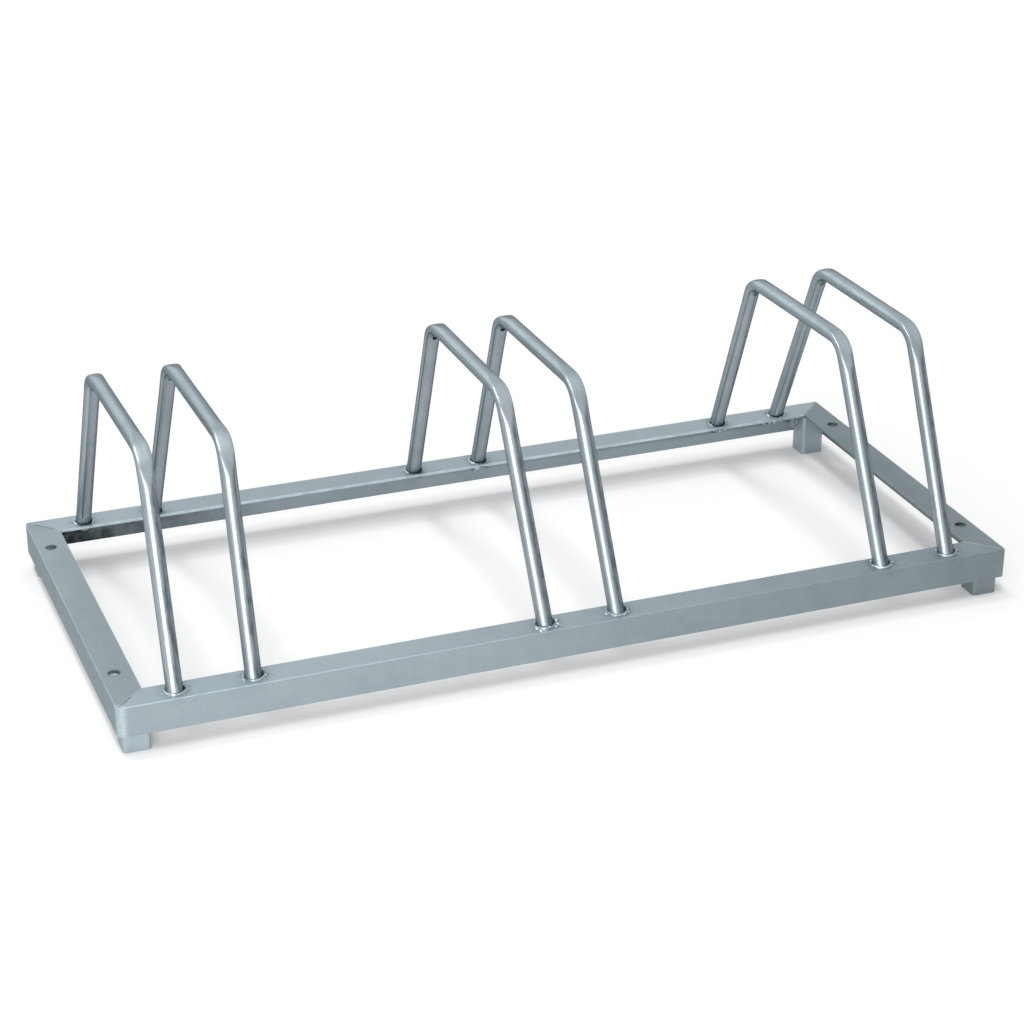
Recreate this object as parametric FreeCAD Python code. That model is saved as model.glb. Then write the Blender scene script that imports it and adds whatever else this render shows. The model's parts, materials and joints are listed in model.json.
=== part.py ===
import FreeCAD, Part
import math
import os

Vector = FreeCAD.Vector

# Floor bike rack: a mitred frame of steel angle on four stub feet, with six bent tube hoops in pairs.
# X runs along the rack, Y across it with -Y at the front, and +Z is up. All sizes are in millimetres.
# The origin is on the floor, under the middle of the rack.

# Frame of equal steel angle: one leg lies flat on top and points inwards, the other hangs outside.
rack_length = 1050.0
rack_depth = 480.0
angle_leg = 35.0
angle_wall = 4.0
root_radius = 4.0
toe_radius = 1.5
heel_radius = 1.0

# Radius to which each outer corner of the frame is ground, in plan.
ground_radius = {"near_left": 9.0, "near_right": 3.0, "far_left": 7.0, "far_right": 3.0}

# Square tube feet that stand in the frame's corners and hold it off the floor.
foot_side = 30.0
foot_wall = 2.0
foot_corner_radius = 4.0
foot_inset = 5.5
foot_drop = 22.0
foot_top_bevel = 1.5

# Bent tube hoops. Two of them hold one wheel, and their legs pass through the flat leg of the angle.
tube_diameter = 18.0
tube_wall = 2.0
hoop_height = 300.0
hoop_shoulder = 112.0
hoop_bend_radius = 30.0
leg_edge_inset = 19.5
leg_tail = 3.0
leg_hole_clearance = 0.8
wheel_gap = 67.0
wheel_count = 3
end_margin = 67.5

# The hoops as they were bent and welded, from left to right. Each has its top a little under or over
# hoop_height, its shoulders off hoop_shoulder, and each end of its top out of plumb along X.
hoops_offset = -1.2
top_error = [-8.0, -8.0, -1.0, -2.0, 0.0, 1.0]
shoulder_error = [2.0, 3.0, 0.0, 0.0, -5.0, -2.0]
far_lean = [4.0, 7.0, -8.5, -8.5, -11.0, -2.5]
near_lean = [6.0, 8.0, -8.0, -6.5, -4.0, 0.5]

# Vent hole on the inside of each hoop's far bend. On the outer pairs zinc closes it to a dimple.
vent_diameter = 6.0
vent_turn = 14.0
vent_dimple = 0.7
vents_open = [False, False, True, True, False, False]

# Holes in the end rails: two for ground anchors in each top, and one to hang the rack for dipping.
anchor_hole_diameter = 12.0
anchor_end_inset = 15.5
anchor_side_inset = 77.5
hanging_hole_diameter = 8.0
hanging_hole_inset = 107.0
hanging_hole_depth = 20.0

# Weld metal.
leg_bead_width = 4.0
leg_bead_height = 4.5
leg_bead_rim = 0.3
far_bead_opening = 80.0
groove_half_width = 1.8
groove_depth = 2.6
seam_width = 0.9
seam_depth = 1.3
# Where the ground welds stay open along the mitre, from the outer corner: start and end.
open_seams = {"near_left": (6.0, 29.0), "far_left": (14.0, 44.0)}
foot_bead_leg = 4.0
foot_bead_length = 18.0
foot_bead_top_gap = 7.0

# Sizes that follow from the ones above.
frame_top = foot_drop + angle_leg
flange_under = frame_top - angle_wall
half_length = rack_length / 2
half_depth = rack_depth / 2
tube_radius = tube_diameter / 2
bore_radius = tube_radius - tube_wall
leg_base = half_depth - leg_edge_inset
hoop_spacing = wheel_gap + tube_diameter
wheel_pitch = (rack_length - 2 * end_margin - hoop_spacing) / (wheel_count - 1)
corner_signs = {"near_left": (-1, -1), "near_right": (1, -1), "far_left": (-1, 1), "far_right": (1, 1)}



def wheel_centres():
    first = hoops_offset - wheel_pitch * (wheel_count - 1) / 2
    return [first + wheel_pitch * number for number in range(wheel_count)]


def hoop_places():
    """X of each hoop at the top of the frame, from left to right."""
    return [centre + side * hoop_spacing / 2 for centre in wheel_centres() for side in (-1, 1)]


def polygon_prism(points, height, base_z):
    corners = [Vector(x, y, base_z) for x, y in points]
    return Part.Face(Part.makePolygon(corners + corners[:1])).extrude(Vector(0, 0, height))


def arc_edge(centre, radius, start_degrees, end_degrees):
    """An arc in the YZ plane, through its middle."""
    def at(degrees):
        angle = math.radians(degrees)
        return Vector(0, centre[0] + radius * math.cos(angle), centre[1] + radius * math.sin(angle))

    return Part.Arc(at(start_degrees), at((start_degrees + end_degrees) / 2), at(end_degrees)).toShape()


def line_edge(start, end):
    return Part.LineSegment(Vector(0, *start), Vector(0, *end)).toShape()


def angle_section():
    """The angle's section in the YZ plane at X = 0, with its heel at the near top edge."""
    outer = -half_depth
    toe_y = outer + angle_leg
    wall_y = outer + angle_wall
    edges = [
        arc_edge((outer + heel_radius, frame_top - heel_radius), heel_radius, 180, 90),
        line_edge((outer + heel_radius, frame_top), (toe_y, frame_top)),
        line_edge((toe_y, frame_top), (toe_y, flange_under + toe_radius)),
        arc_edge((toe_y - toe_radius, flange_under + toe_radius), toe_radius, 0, -90),
        line_edge((toe_y - toe_radius, flange_under), (wall_y + root_radius, flange_under)),
        arc_edge((wall_y + root_radius, flange_under - root_radius), root_radius, 90, 180),
        line_edge((wall_y, flange_under - root_radius), (wall_y, foot_drop + toe_radius)),
        arc_edge((wall_y - toe_radius, foot_drop + toe_radius), toe_radius, 0, -90),
        line_edge((wall_y - toe_radius, foot_drop), (outer, foot_drop)),
        line_edge((outer, foot_drop), (outer, frame_top - heel_radius)),
    ]
    return Part.Face(Part.Wire(edges))


def long_rail_blank():
    """The near rail as a plain length of angle, before its ends are mitred."""
    blank = angle_section().extrude(Vector(rack_length, 0, 0))
    blank.translate(Vector(-half_length, 0, 0))
    return blank


def end_rail_blank():
    """The left rail as a plain length of angle, before its ends are mitred."""
    blank = angle_section().extrude(Vector(rack_depth, 0, 0))
    blank.translate(Vector(-half_depth, half_depth, 0))
    blank.rotate(Vector(0, 0, 0), Vector(0, 0, 1), -90)
    blank.translate(Vector(-half_length, 0, 0))
    return blank


def turned_half(shape):
    """The same piece on the other side of the rack, turned half round about Z."""
    copy = shape.copy()
    copy.rotate(Vector(0, 0, 0), Vector(0, 0, 1), 180)
    return copy


def mitre_room(side):
    """The region in plan that one rail keeps between its two mitre cuts."""
    l, d = half_length, half_depth
    near = [(-l, -d), (l, -d), (l - d, 0), (-l + d, 0)]
    left = [(-l, d), (-l, -d), (-l + d, 0)]
    outline = near if side in ("near", "far") else left
    room = polygon_prism(outline, 2 * frame_top, -frame_top / 2)
    return room if side in ("near", "left") else turned_half(room)


def ground_outline():
    """The frame's outside in plan, with each corner ground to its own radius."""
    block = Part.makeBox(rack_length, rack_depth, 2 * frame_top, Vector(-half_length, -half_depth, -frame_top / 2))
    for corner, (sign_x, sign_y) in corner_signs.items():
        radius = ground_radius[corner]
        spot = Vector(sign_x * half_length, sign_y * half_depth, 0)
        edge = [e for e in block.Edges if is_upright_at(e, spot)]
        block = block.makeFillet(radius, edge)
    return block


def is_upright_at(edge, spot):
    middle = edge.BoundBox.Center
    level = math.hypot(middle.x - spot.x, middle.y - spot.y)
    return edge.BoundBox.ZLength > frame_top and level < 0.01


def upright_hole(x, y, diameter):
    return Part.makeCylinder(diameter / 2, 2 * frame_top, Vector(x, y, 0))


def anchor_places():
    across = half_depth - anchor_side_inset
    along = half_length - anchor_end_inset
    return [(side * along, end * across) for side in (-1, 1) for end in (-1, 1)]


def hoop_corners(number):
    """A hoop's axis at its far base, its far and near bends' corners, and its near base."""
    x = hoop_places()[number]
    shoulder = hoop_shoulder + shoulder_error[number]
    axis_z = hoop_height + top_error[number] - tube_radius
    far_bend = Vector(x + far_lean[number], shoulder, axis_z)
    near_bend = Vector(x + near_lean[number], -shoulder, axis_z)
    return [Vector(x, leg_base, frame_top), far_bend, near_bend, Vector(x, -leg_base, frame_top)]


def leg_line(number, side):
    """A leg's base on top of the frame and its direction upwards. Side is 1 for the far leg, -1 for the near."""
    corners = hoop_corners(number)
    base, bend = (corners[0], corners[1]) if side > 0 else (corners[3], corners[2])
    return base, (bend - base).normalize()


def below_flange(direction, radius):
    """How far down a leaning rod must start for its whole end to be under the flange."""
    lean = math.acos(direction.z)
    return (angle_wall + radius * math.sin(lean)) / math.cos(lean)


def leg_rod(number, side, radius):
    """A solid rod along a leg's line that passes right through the flange and clears the hanging leg."""
    base, direction = leg_line(number, side)
    below = below_flange(direction, radius)
    return Part.makeCylinder(radius, below + tube_diameter, base - direction * below, direction)


def ring_face(centre, normal):
    outer = Part.Wire(Part.makeCircle(tube_radius, centre, normal))
    inner = Part.Wire(Part.makeCircle(bore_radius, centre, normal))
    return Part.makeFace([outer, inner], "Part::FaceMakerBullseye")


def bend_at(before, corner, after):
    """Where a bend starts and ends, its pivot and pivot axis, and how far it turns."""
    come = (corner - before).normalize()
    go = (after - corner).normalize()
    turn = come.getAngle(go)
    setback = hoop_bend_radius * math.tan(turn / 2)
    axis = come.cross(go).normalize()
    start = corner - come * setback
    pivot = start + axis.cross(come) * hoop_bend_radius
    return start, corner + go * setback, pivot, axis, turn


def bent_tube(corners):
    """A round tube of straight runs joined by bends."""
    pieces = []
    run_start = corners[0]
    for before, corner, after in zip(corners, corners[1:], corners[2:]):
        start, end, pivot, axis, turn = bend_at(before, corner, after)
        along = start - run_start
        pieces.append(ring_face(run_start, along).extrude(along))
        pieces.append(ring_face(start, along).revolve(pivot, axis, math.degrees(turn)))
        run_start = end
    along = corners[-1] - run_start
    pieces.append(ring_face(run_start, along).extrude(along))
    return pieces[0].fuse(pieces[1:]).removeSplitter()


def hoop(number):
    corners = hoop_corners(number)
    tails = []
    for side in (1, -1):
        base, direction = leg_line(number, side)
        tails.append(base - direction * ((angle_wall + leg_tail) / direction.z))
    tube = bent_tube([tails[0], corners[1], corners[2], tails[1]])
    return tube.cut(vent(number))


def vent(number):
    """The drill for the hole on the inside of the far bend."""
    start, end, pivot, axis, turn = bend_at(*hoop_corners(number)[:3])
    outwards = FreeCAD.Rotation(axis, vent_turn).multVec(start - pivot).normalize()
    depth = tube_radius if vents_open[number] else vent_dimple
    mouth = pivot + outwards * (hoop_bend_radius - tube_radius)
    drill_end = mouth + outwards * depth
    return Part.makeCylinder(vent_diameter / 2, depth + tube_radius, drill_end, outwards * -1)


def leg_holes(side):
    """The holes that a long rail has for the hoops' legs."""
    return [leg_rod(number, side, tube_radius + leg_hole_clearance) for number in range(len(hoop_places()))]


def leg_bead(number, side):
    """The weld round a leg on top of the flange. The far ones stop short at the front."""
    base, direction = leg_line(number, side)
    rim_radius = tube_radius / direction.z + leg_bead_rim
    low = Part.Wire(Part.makeCircle(rim_radius + leg_bead_width, base))
    high = Part.Wire(Part.makeCircle(rim_radius, base + direction * (leg_bead_height / direction.z)))
    bead = Part.makeLoft([low, high], True, True)
    bead = bead.cut(leg_rod(number, side, tube_radius))
    if side > 0:
        bead = bead.cut(front_wedge(base.x))
    return largest_solid(bead)


def front_wedge(x):
    half_angle = math.radians(far_bead_opening / 2)
    far = 2 * tube_diameter
    spread = far * math.tan(half_angle)
    points = [(x, leg_base), (x - spread, leg_base - far), (x + spread, leg_base - far)]
    return polygon_prism(points, 2 * leg_bead_height, frame_top - leg_bead_height / 2)


def largest_solid(shape):
    return max(shape.Solids, key=lambda solid: solid.Volume)


def groove_along(start, end, out, wide):
    """A V groove: open side towards out, apex groove_depth below the line from start to end."""
    corners = [start + wide * groove_half_width, start - out * groove_depth, start - wide * groove_half_width]
    lip = out * groove_depth
    corners = [corners[0], corners[1], corners[2], corners[2] + lip, corners[0] + lip]
    return Part.Face(Part.makePolygon(corners + corners[:1])).extrude(end - start)


def corner_groove(corner):
    """The V groove that the corner weld fills: across the top of the mitre and down the outer edge."""
    sign_x, sign_y = corner_signs[corner]
    heel = Vector(sign_x * half_length, sign_y * half_depth, frame_top)
    inward = Vector(-sign_x, -sign_y, 0).normalize()
    across = Vector(inward.y, -inward.x, 0)
    cut_back = ground_radius[corner] * (math.sqrt(2) - 1)
    toe = heel + inward * (angle_leg * math.sqrt(2) + groove_depth)
    top = groove_along(heel - inward * groove_depth, toe, Vector(0, 0, 1), across)
    skin = heel + inward * cut_back
    low = Vector(skin.x, skin.y, foot_drop - groove_depth)
    high = Vector(skin.x, skin.y, frame_top + groove_depth)
    upright = groove_along(low, high, inward * -1, across)
    return top.fuse(upright)


def open_seam(corner):
    """The narrow slot that the corner weld leaves unfilled along the top of the mitre."""
    sign_x, sign_y = corner_signs[corner]
    start, end = open_seams[corner]
    slot = Part.makeBox(end - start, seam_width, 2 * seam_depth, Vector(start, -seam_width / 2, -seam_depth))
    inward = math.degrees(math.atan2(-sign_y, -sign_x))
    slot.rotate(Vector(0, 0, 0), Vector(0, 0, 1), inward)
    slot.translate(Vector(sign_x * half_length, sign_y * half_depth, frame_top))
    return slot


def foot(corner):
    """A stub of square tube, with its top bevelled to clear the angle's root."""
    inner_side = foot_side - 2 * foot_wall
    post = rounded_post(foot_side, foot_corner_radius)
    bore = rounded_post(inner_side, foot_corner_radius - foot_wall)
    stub = post.cut(bore)
    top_edges = [e for e in stub.Edges if is_outer_top(e)]
    stub = stub.makeChamfer(foot_top_bevel, top_edges)
    sign_x, sign_y = corner_signs[corner]
    inset = foot_inset + foot_side / 2
    stub.translate(Vector(sign_x * (half_length - inset), sign_y * (half_depth - inset), 0))
    return stub


def rounded_post(side, radius):
    block = Part.makeBox(side, side, flange_under, Vector(-side / 2, -side / 2, 0))
    upright = [e for e in block.Edges if e.BoundBox.ZLength > flange_under / 2]
    return block.makeFillet(radius, upright)


def is_outer_top(edge):
    box = edge.BoundBox
    reaches_out = max(abs(box.XMin), abs(box.XMax), abs(box.YMin), abs(box.YMax)) > foot_side / 2 - foot_wall / 2
    return box.ZMin > flange_under - 0.01 and reaches_out


def foot_bead(corner, rails, stub):
    """Two upright fillet welds that tie a foot to the hanging legs of both rails."""
    sign_x, sign_y = corner_signs[corner]
    near_edge = angle_wall
    far_edge = foot_inset + foot_side
    reach_out = far_edge + foot_bead_leg
    rise = foot_inset - angle_wall + foot_bead_leg
    start_z = flange_under - foot_bead_top_gap - foot_bead_length
    profile = [(far_edge, near_edge), (reach_out, near_edge), (far_edge, near_edge + rise)]
    beads = []
    for swap in (False, True):
        places = [(v, u) if swap else (u, v) for u, v in profile]
        points = [(sign_x * (half_length - u), sign_y * (half_depth - v)) for u, v in places]
        bead = polygon_prism(points, foot_bead_length, start_z)
        beads.append(largest_solid(bead.cut([stub] + rails)))
    return Part.makeCompound(beads)


def build():
    """Every piece of the rack by name, each a closed solid in its place."""
    outline = ground_outline()
    grooves = {corner: corner_groove(corner) for corner in corner_signs}
    anchors = [upright_hole(x, y, anchor_hole_diameter) for x, y in anchor_places()]
    hanging_y = -half_depth + hanging_hole_inset
    hanging_spot = Vector(-half_length - angle_wall, hanging_y, frame_top - hanging_hole_depth)
    hanging = Part.makeCylinder(hanging_hole_diameter / 2, 3 * angle_wall, hanging_spot, Vector(1, 0, 0))
    near_blank = long_rail_blank()
    left_blank = end_rail_blank()
    blanks = {
        "near": near_blank,
        "far": turned_half(near_blank),
        "left": left_blank,
        "right": turned_half(left_blank),
    }
    holes = {"near": leg_holes(-1), "far": leg_holes(1), "left": anchors + [hanging], "right": anchors}
    pieces = {}
    mitred = {}
    for side, blank in blanks.items():
        mitred[side] = blank.common(mitre_room(side)).common(outline)
        rail = mitred[side].cut(holes[side] + list(grooves.values()))
        pieces[side + "_rail"] = largest_solid(rail)
    frame = mitred["near"].fuse([mitred["far"], mitred["left"], mitred["right"]])
    rails = [pieces[side + "_rail"] for side in blanks]
    for corner in corner_signs:
        fill = grooves[corner].common(frame)
        if corner in open_seams:
            fill = fill.cut(open_seam(corner))
        pieces["corner_weld_" + corner] = largest_solid(fill)
        stub = foot(corner)
        pieces["foot_" + corner] = stub
        pieces["foot_weld_" + corner] = foot_bead(corner, rails, stub)
    for number in range(len(hoop_places())):
        place = str(number + 1)
        pieces["hoop_" + place] = largest_solid(hoop(number))
        pieces["near_leg_weld_" + place] = leg_bead(number, -1)
        pieces["far_leg_weld_" + place] = leg_bead(number, 1)
    return pieces


os.makedirs("parts", exist_ok=True)
for name, shape in build().items():
    shape.exportStep("parts/" + name + ".step")
    box = shape.optimalBoundingBox(False)
    print(name, len(shape.Solids), shape.isValid(), round(shape.Volume, 1),
          [round(v, 1) for v in (box.XMin, box.XMax, box.YMin, box.YMax, box.ZMin, box.ZMax)])
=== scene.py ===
import json
import math

import bmesh
import bpy
from mathutils import Matrix, Vector, noise


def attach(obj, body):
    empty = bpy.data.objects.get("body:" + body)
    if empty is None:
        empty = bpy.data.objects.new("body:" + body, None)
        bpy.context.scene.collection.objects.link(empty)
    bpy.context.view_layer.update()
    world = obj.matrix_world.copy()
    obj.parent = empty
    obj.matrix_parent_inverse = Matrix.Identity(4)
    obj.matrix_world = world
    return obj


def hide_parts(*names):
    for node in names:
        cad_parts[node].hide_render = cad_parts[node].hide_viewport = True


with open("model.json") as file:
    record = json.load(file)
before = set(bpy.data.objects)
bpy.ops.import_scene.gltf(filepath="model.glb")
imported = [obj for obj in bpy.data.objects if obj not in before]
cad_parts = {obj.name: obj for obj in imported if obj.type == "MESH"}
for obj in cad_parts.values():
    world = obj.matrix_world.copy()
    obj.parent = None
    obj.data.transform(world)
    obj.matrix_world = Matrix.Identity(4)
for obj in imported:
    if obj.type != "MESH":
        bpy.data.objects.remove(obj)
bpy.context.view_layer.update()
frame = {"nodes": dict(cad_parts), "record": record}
print("frame loaded")

mm = 0.001
degree = math.pi / 180

# The rack lies along X with its front at -Y. The origin is on the floor, under its middle.
rack = {
    "length": 1050 * mm,
    "depth": 480 * mm,
    "top": 57 * mm,
    "flange": 4 * mm,
    "angleLeg": 35 * mm,
    "legInset": 19.5 * mm,
    "hoopCount": 6,
}


zinc = {
    "frame_steel": {
        "light": (0.405, 0.475, 0.51), "dark": (0.315, 0.385, 0.42),
        "metallic": 0.7, "roughness": 0.46, "grain": 0.10, "bump": 0.12,
        "ripple": 1.0, "clouds": 0.30, "patches": 0.22, "pits": 0.35,
    },
    "hoop_steel": {
        "light": (0.405, 0.465, 0.498), "dark": (0.155, 0.205, 0.228),
        "metallic": 0.9, "roughness": 0.33, "grain": 0.035, "bump": 0.14,
        "ripple": 0.22, "clouds": 0.16, "patches": 0.12, "pits": 0.14,
    },
    "foot_steel": {
        "light": (0.44, 0.51, 0.55), "dark": (0.36, 0.43, 0.465),
        "metallic": 0.6, "roughness": 0.5, "grain": 0.10, "bump": 0.12,
        "ripple": 1.0, "clouds": 0.30, "patches": 0.22, "pits": 0.35,
    },
    "weld_metal": {
        "light": (0.47, 0.54, 0.58), "dark": (0.10, 0.14, 0.16),
        "metallic": 0.78, "roughness": 0.38, "grain": 0.09, "bump": 0.30,
        "ripple": 1.0, "clouds": 0.20, "patches": 0.25, "pits": 0.60,
    },
}

# Noise patterns: scale, detail, stretch, and the levels that become 0 and 1.
patterns = {
    "clouds": (11, 4, (1, 1, 1), 0.35, 0.65),
    "patches": (45, 3, (1, 1, 1), 0.35, 0.7),
    "grain": (330, 5, (1, 1, 1), 0.3, 0.7),
    "pits": (130, 3, (1, 1, 1), 0.66, 0.74),
    # Breaks up the painted highlights along the edges and the painted shade in the far corner.
    "patchy": (70, 4, (1, 1, 1), 0.36, 0.6),
    "speckle": (170, 4, (1, 1, 1), 0.40, 0.58),
    "scores": (1, 3, (30, 30, 1500), 0.35, 0.65),
    "lines": (1, 4, (480, 7, 1), 0.42, 0.66),
    "marble": (1, 6, (170, 42, 1), 0.47, 0.66),
    "scratches": (1, 4, (240, 30, 1), 0.66, 0.74),
}

# How the patterns act on colour, roughness and relief, beside each look's own shares.
surface = {
    "grainShade": 2.4,
    "grainShine": 0.10,
    "cloudShine": 0.08,
    "marbleShine": 0.12,
    "groundShine": -0.25,
    "shineMiddle": 0.09,
    "rippleScale": 60,
    "rippleDetail": 3,
    "grainHeight": 3,
    "pitHeight": -2,
    "bumpDistance": 1.2 * mm,
    "toneStart": -0.3,
    "groundBase": 0.35,
    "groundScores": 0.5,
    "groundGrain": 0.3,
    "darkest": 0.06,
}

# Where the marks on the tubes lie and how much they darken. Pairs are where a mark starts and
# where it is full. The marble goes only low on the near legs and on their right side, away from the
# key light, so it is partly painted shade.
tubeMarks = {
    "lines": 0.14,
    "scratches": 0.35,
    "marble": 0.95,
    "seam": 0.75,
    "beside": -0.25,
    "seamWidth": (1.1 * mm, 0.2 * mm),
    "besidePlace": 2.64 * mm,
    "besideWidth": (1.76 * mm, 0.4 * mm),
    "nearLegs": (-110 * mm, -165 * mm),
    "shadedSide": (-0.25, 0.15),
}

# How light a piece's zinc is: left of the middle of the rack, and at its right end. This is partly
# each piece's own zinc tone and partly painted shade: the near rail's fall to its right end, the
# darker right rail and the darker near right foot paint the fall of the light away from the key on
# the left.
pieceTonesAndShade = {
    "near_rail": (1.0, 0.70),
    "far_rail": (0.93, 1.03),
    "left_rail": (0.80, 0.80),
    "right_rail": (0.66, 0.66),
    "foot_near_left": (1.12, 1.12),
    "foot_far_left": (0.9, 0.9),
    "foot_near_right": (0.70, 0.70),
    "foot_far_right": (1.1, 1.1),
}

# How much each mark on the frame lightens or, if negative, darkens the zinc. Heel, toe and farToe
# are painted highlights along the edges. The ground corner is ground metal with a painted
# highlight. The gaps, the spots under the toe, the far-left corner patch and underShade are painted
# shade. The left rail's outer face is painted lighter where the key light falls.
markWeights = {
    "heel": 0.22,
    "toe": 0.2,
    "farToe": 0.75,
    "ground": 0.6,
    "heat": -0.26,
    "railGaps": -0.9,
    "weldGaps": -0.8,
    "underToe": -0.62,
    "cornerShade": -0.85,
    "underShade": -0.55,
    "litOuterFace": 0.13,
    "holeRim": -0.30,
}

# Where those marks lie. Pairs are where a mark starts and where it is full. A spot of painted shade
# under the far rail's toe is its X, Z and size in mm.
details = {
    "edgeColour": (0.25, 0.27, 0.28, 1),
    "edgeHighlightWidth": (1.0 * mm, 0.3 * mm),
    "heelFade": (0.1, -0.35),
    "toeEven": 0.6,
    "toePatchy": 0.4,
    "corner": (12 * mm, 6 * mm),
    "legPlaces": 220.5 * mm,
    "heat": (23 * mm, 11 * mm),
    "gaps": (10.5 * mm, 10.1 * mm),
    "gapHeight": 1 * mm,
    "farGapShift": (0.5 * mm, -1.0 * mm),
    "nearGapShift": (1.5 * mm, 0.9 * mm),
    "innerFace": (238 * mm, 237.5 * mm),
    "insideFlanges": (2, 2.5),
    "shadeSpotPlane": 236 * mm,
    "shadeSpotSquash": 3.4,
    "underToeFull": 0.55,
    "underToe": (
        (-33, 39.4, 8), (41, 38.4, 5), (57, 38.6, 6), (378, 38.6, 10),
        (392, 39.6, 7), (448, 39.6, 9), (466, 39.8, 8), (489, 36.0, 9),
    ),
    "cornerShade": (-0.47, 0.236, 0.044),
    "cornerShadeReach": (260 * mm, 20 * mm),
    "cornerShadePatchy": 0.3,
    "shadeHeight": (34 * mm, 41 * mm),
    "shadeFade": (-0.1, 0.42),
    "litOuterFace": (1 * mm, 0.5 * mm),
    "holeX": 509.5 * mm,
    "holeY": 162.5 * mm,
    "holeRim": (8.5 * mm, 6.3 * mm),
}


def link(tree, fromNode, fromSocket, toNode, toSocket):
    tree.links.new(fromNode.outputs[fromSocket], toNode.inputs[toSocket])


def addNoise(tree, coordinate, scale, detail, stretch=(1, 1, 1)):
    mapping = tree.nodes.new("ShaderNodeMapping")
    mapping.inputs["Scale"].default_value = stretch
    link(tree, coordinate[0], coordinate[1], mapping, "Vector")
    pattern = tree.nodes.new("ShaderNodeTexNoise")
    pattern.inputs["Scale"].default_value = scale
    pattern.inputs["Detail"].default_value = detail
    link(tree, mapping, "Vector", pattern, "Vector")
    return pattern


# Stretches a pattern so that low becomes 0 and high becomes 1.
def addRamp(tree, source, socket, low, high):
    stretch = tree.nodes.new("ShaderNodeMapRange")
    stretch.inputs["From Min"].default_value = low
    stretch.inputs["From Max"].default_value = high
    link(tree, source, socket, stretch, "Value")
    return stretch, "Result"


def addPattern(tree, coordinate, name):
    scale, detail, stretch, low, high = patterns[name]
    return addRamp(tree, addNoise(tree, coordinate, scale, detail, stretch), "Fac", low, high)


# A math node between two (node, socket) pairs or plain numbers.
def addMath(tree, operation, first, second=0.0):
    node = tree.nodes.new("ShaderNodeMath")
    node.operation = operation
    for index, value in enumerate((first, second)):
        if isinstance(value, tuple):
            tree.links.new(value[0].outputs[value[1]], node.inputs[index])
        else:
            node.inputs[index].default_value = value
    return node, "Value"


# The sum of (pattern, weight) pairs.
def addSum(tree, parts):
    total = 0.0
    for pattern, weight in parts:
        total = addMath(tree, "ADD", total, addMath(tree, "MULTIPLY", pattern, weight))
    return total


def distanceFrom(tree, spot, point):
    node = tree.nodes.new("ShaderNodeVectorMath")
    node.operation = "DISTANCE"
    link(tree, spot[0], spot[1], node, 0)
    node.inputs[1].default_value = point
    return node, "Value"


# 1 near any of the points. The reach is the distances at which that starts and is full.
def nearPoints(tree, spot, points, reach):
    nearest = 1.0
    for point in points:
        nearest = addMath(tree, "MINIMUM", nearest, distanceFrom(tree, spot, point))
    return addRamp(tree, nearest[0], "Value", *reach)


# 1 along the rails' outer top edge, and 1 along the inner edge of their flat legs, where painted
# highlights are put.
def alongEdges(tree, axes):
    sizeX = addMath(tree, "ABSOLUTE", (axes, "X"))
    sizeY = addMath(tree, "ABSOLUTE", (axes, "Y"))
    heelX = addMath(tree, "SUBTRACT", rack["length"] / 2, sizeX)
    heelY = addMath(tree, "SUBTRACT", rack["depth"] / 2, sizeY)
    below = addMath(tree, "SUBTRACT", rack["top"], (axes, "Z"))
    heel = addMath(tree, "MAXIMUM", addMath(tree, "MINIMUM", heelX, heelY), below)
    toe = addMath(tree, "SUBTRACT", rack["angleLeg"], addMath(tree, "MINIMUM", heelX, heelY))
    toe = addMath(tree, "MAXIMUM", toe, addMath(tree, "SUBTRACT", below, rack["flange"]))
    return [addRamp(tree, edge[0], "Value", *details["edgeHighlightWidth"]) for edge in (heel, toe)]


# 1 at the near left corner's upright edge, which is ground round. The zinc is lightened there
# partly as ground metal and partly as a painted highlight on the rounded corner.
def nearCorner(tree, axes):
    flat = tree.nodes.new("ShaderNodeCombineXYZ")
    link(tree, axes, "X", flat, "X")
    link(tree, axes, "Y", flat, "Y")
    corner = (-rack["length"] / 2, -rack["depth"] / 2, 0)
    away = distanceFrom(tree, (flat, "Vector"), corner)
    return addRamp(tree, away[0], "Value", *details["corner"])


# 1 in the gaps that the welds leave beside the legs, in front of the far ones and to the right of
# the near ones, where painted shade darkens the zinc.
def legGaps(tree, spot):
    points = []
    for number in range(rack["hoopCount"]):
        for side, (aside, back) in ((1, details["farGapShift"]), (-1, details["nearGapShift"])):
            y = side * details["legPlaces"] + back
            points.append((hoopX(number) + aside, y, rack["top"] + details["gapHeight"]))
    return nearPoints(tree, spot, points, details["gaps"])


# What heat does round the legs on the two long rails, and the painted shade in the gaps beside
# them.
def weldEffects(tree, spot):
    legs = [
        (hoopX(number), side * details["legPlaces"], rack["top"])
        for number in range(rack["hoopCount"]) for side in (-1, 1)
    ]
    speckle = addPattern(tree, spot, "speckle")
    heat = nearPoints(tree, spot, legs, details["heat"])
    return [
        (addMath(tree, "MULTIPLY", heat, speckle), markWeights["heat"]),
        (legGaps(tree, spot), markWeights["railGaps"]),
    ]


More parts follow.
